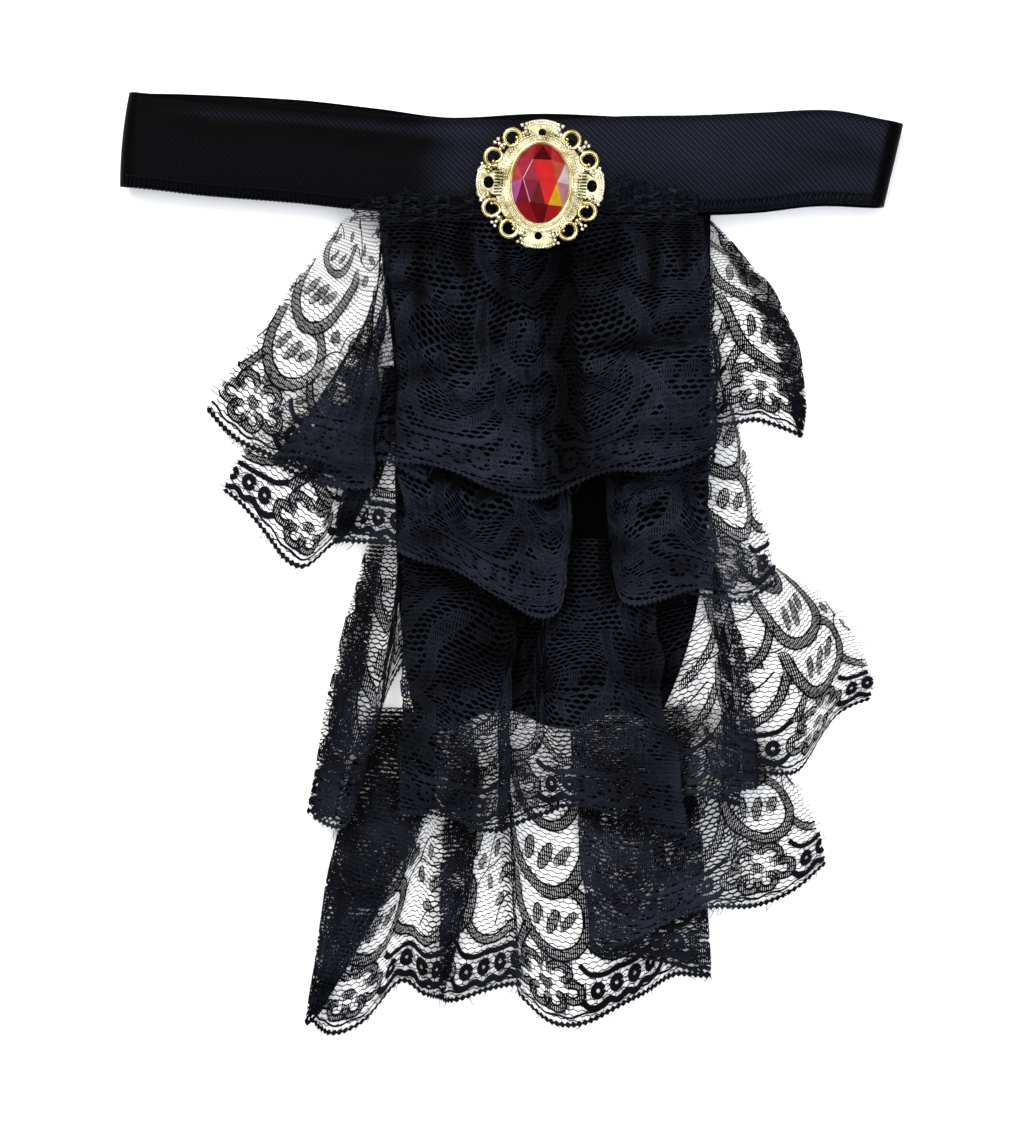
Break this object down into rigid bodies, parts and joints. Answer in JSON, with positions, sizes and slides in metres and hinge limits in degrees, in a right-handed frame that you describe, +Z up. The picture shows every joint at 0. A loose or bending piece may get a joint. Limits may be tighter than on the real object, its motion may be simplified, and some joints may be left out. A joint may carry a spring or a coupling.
{
  "type": "jabot",
  "caption": "Black lace jabot lying flat: closed satin neck band, tiers of gathered lace edging and a gilt filigree ornament with a red faceted stone.",
  "frame": {"origin": "middle of the whole jabot, on the surface that it lies on", "axes": "+X along the band to the right as seen from the front, +Y from the lace hem towards the neck band, +Z up, out of the jabot's face"},
  "size_m": [0.2006, 0.2396, 0.0178],
  "materials": {
    "satin": "stretch satin, soft sheen",
    "backing_cloth": "matt woven",
    "lace": "raschel lace",
    "gilt": "pale gilt, bright",
    "stone": "faceted, foil backed",
    "pin_steel": "plated"
  },
  "bodies": {
    "root": {"neck_band": "satin", "backing_panel": "backing_cloth", "gathered_heading": "lace", "top_ruffle": "lace", "second_ruffle": "lace", "third_ruffle": "lace", "bottom_ruffle": "lace", "brooch_setting": "gilt", "brooch_stone": "stone", "brooch_pin": "pin_steel"}
  },
  "joints": []
}
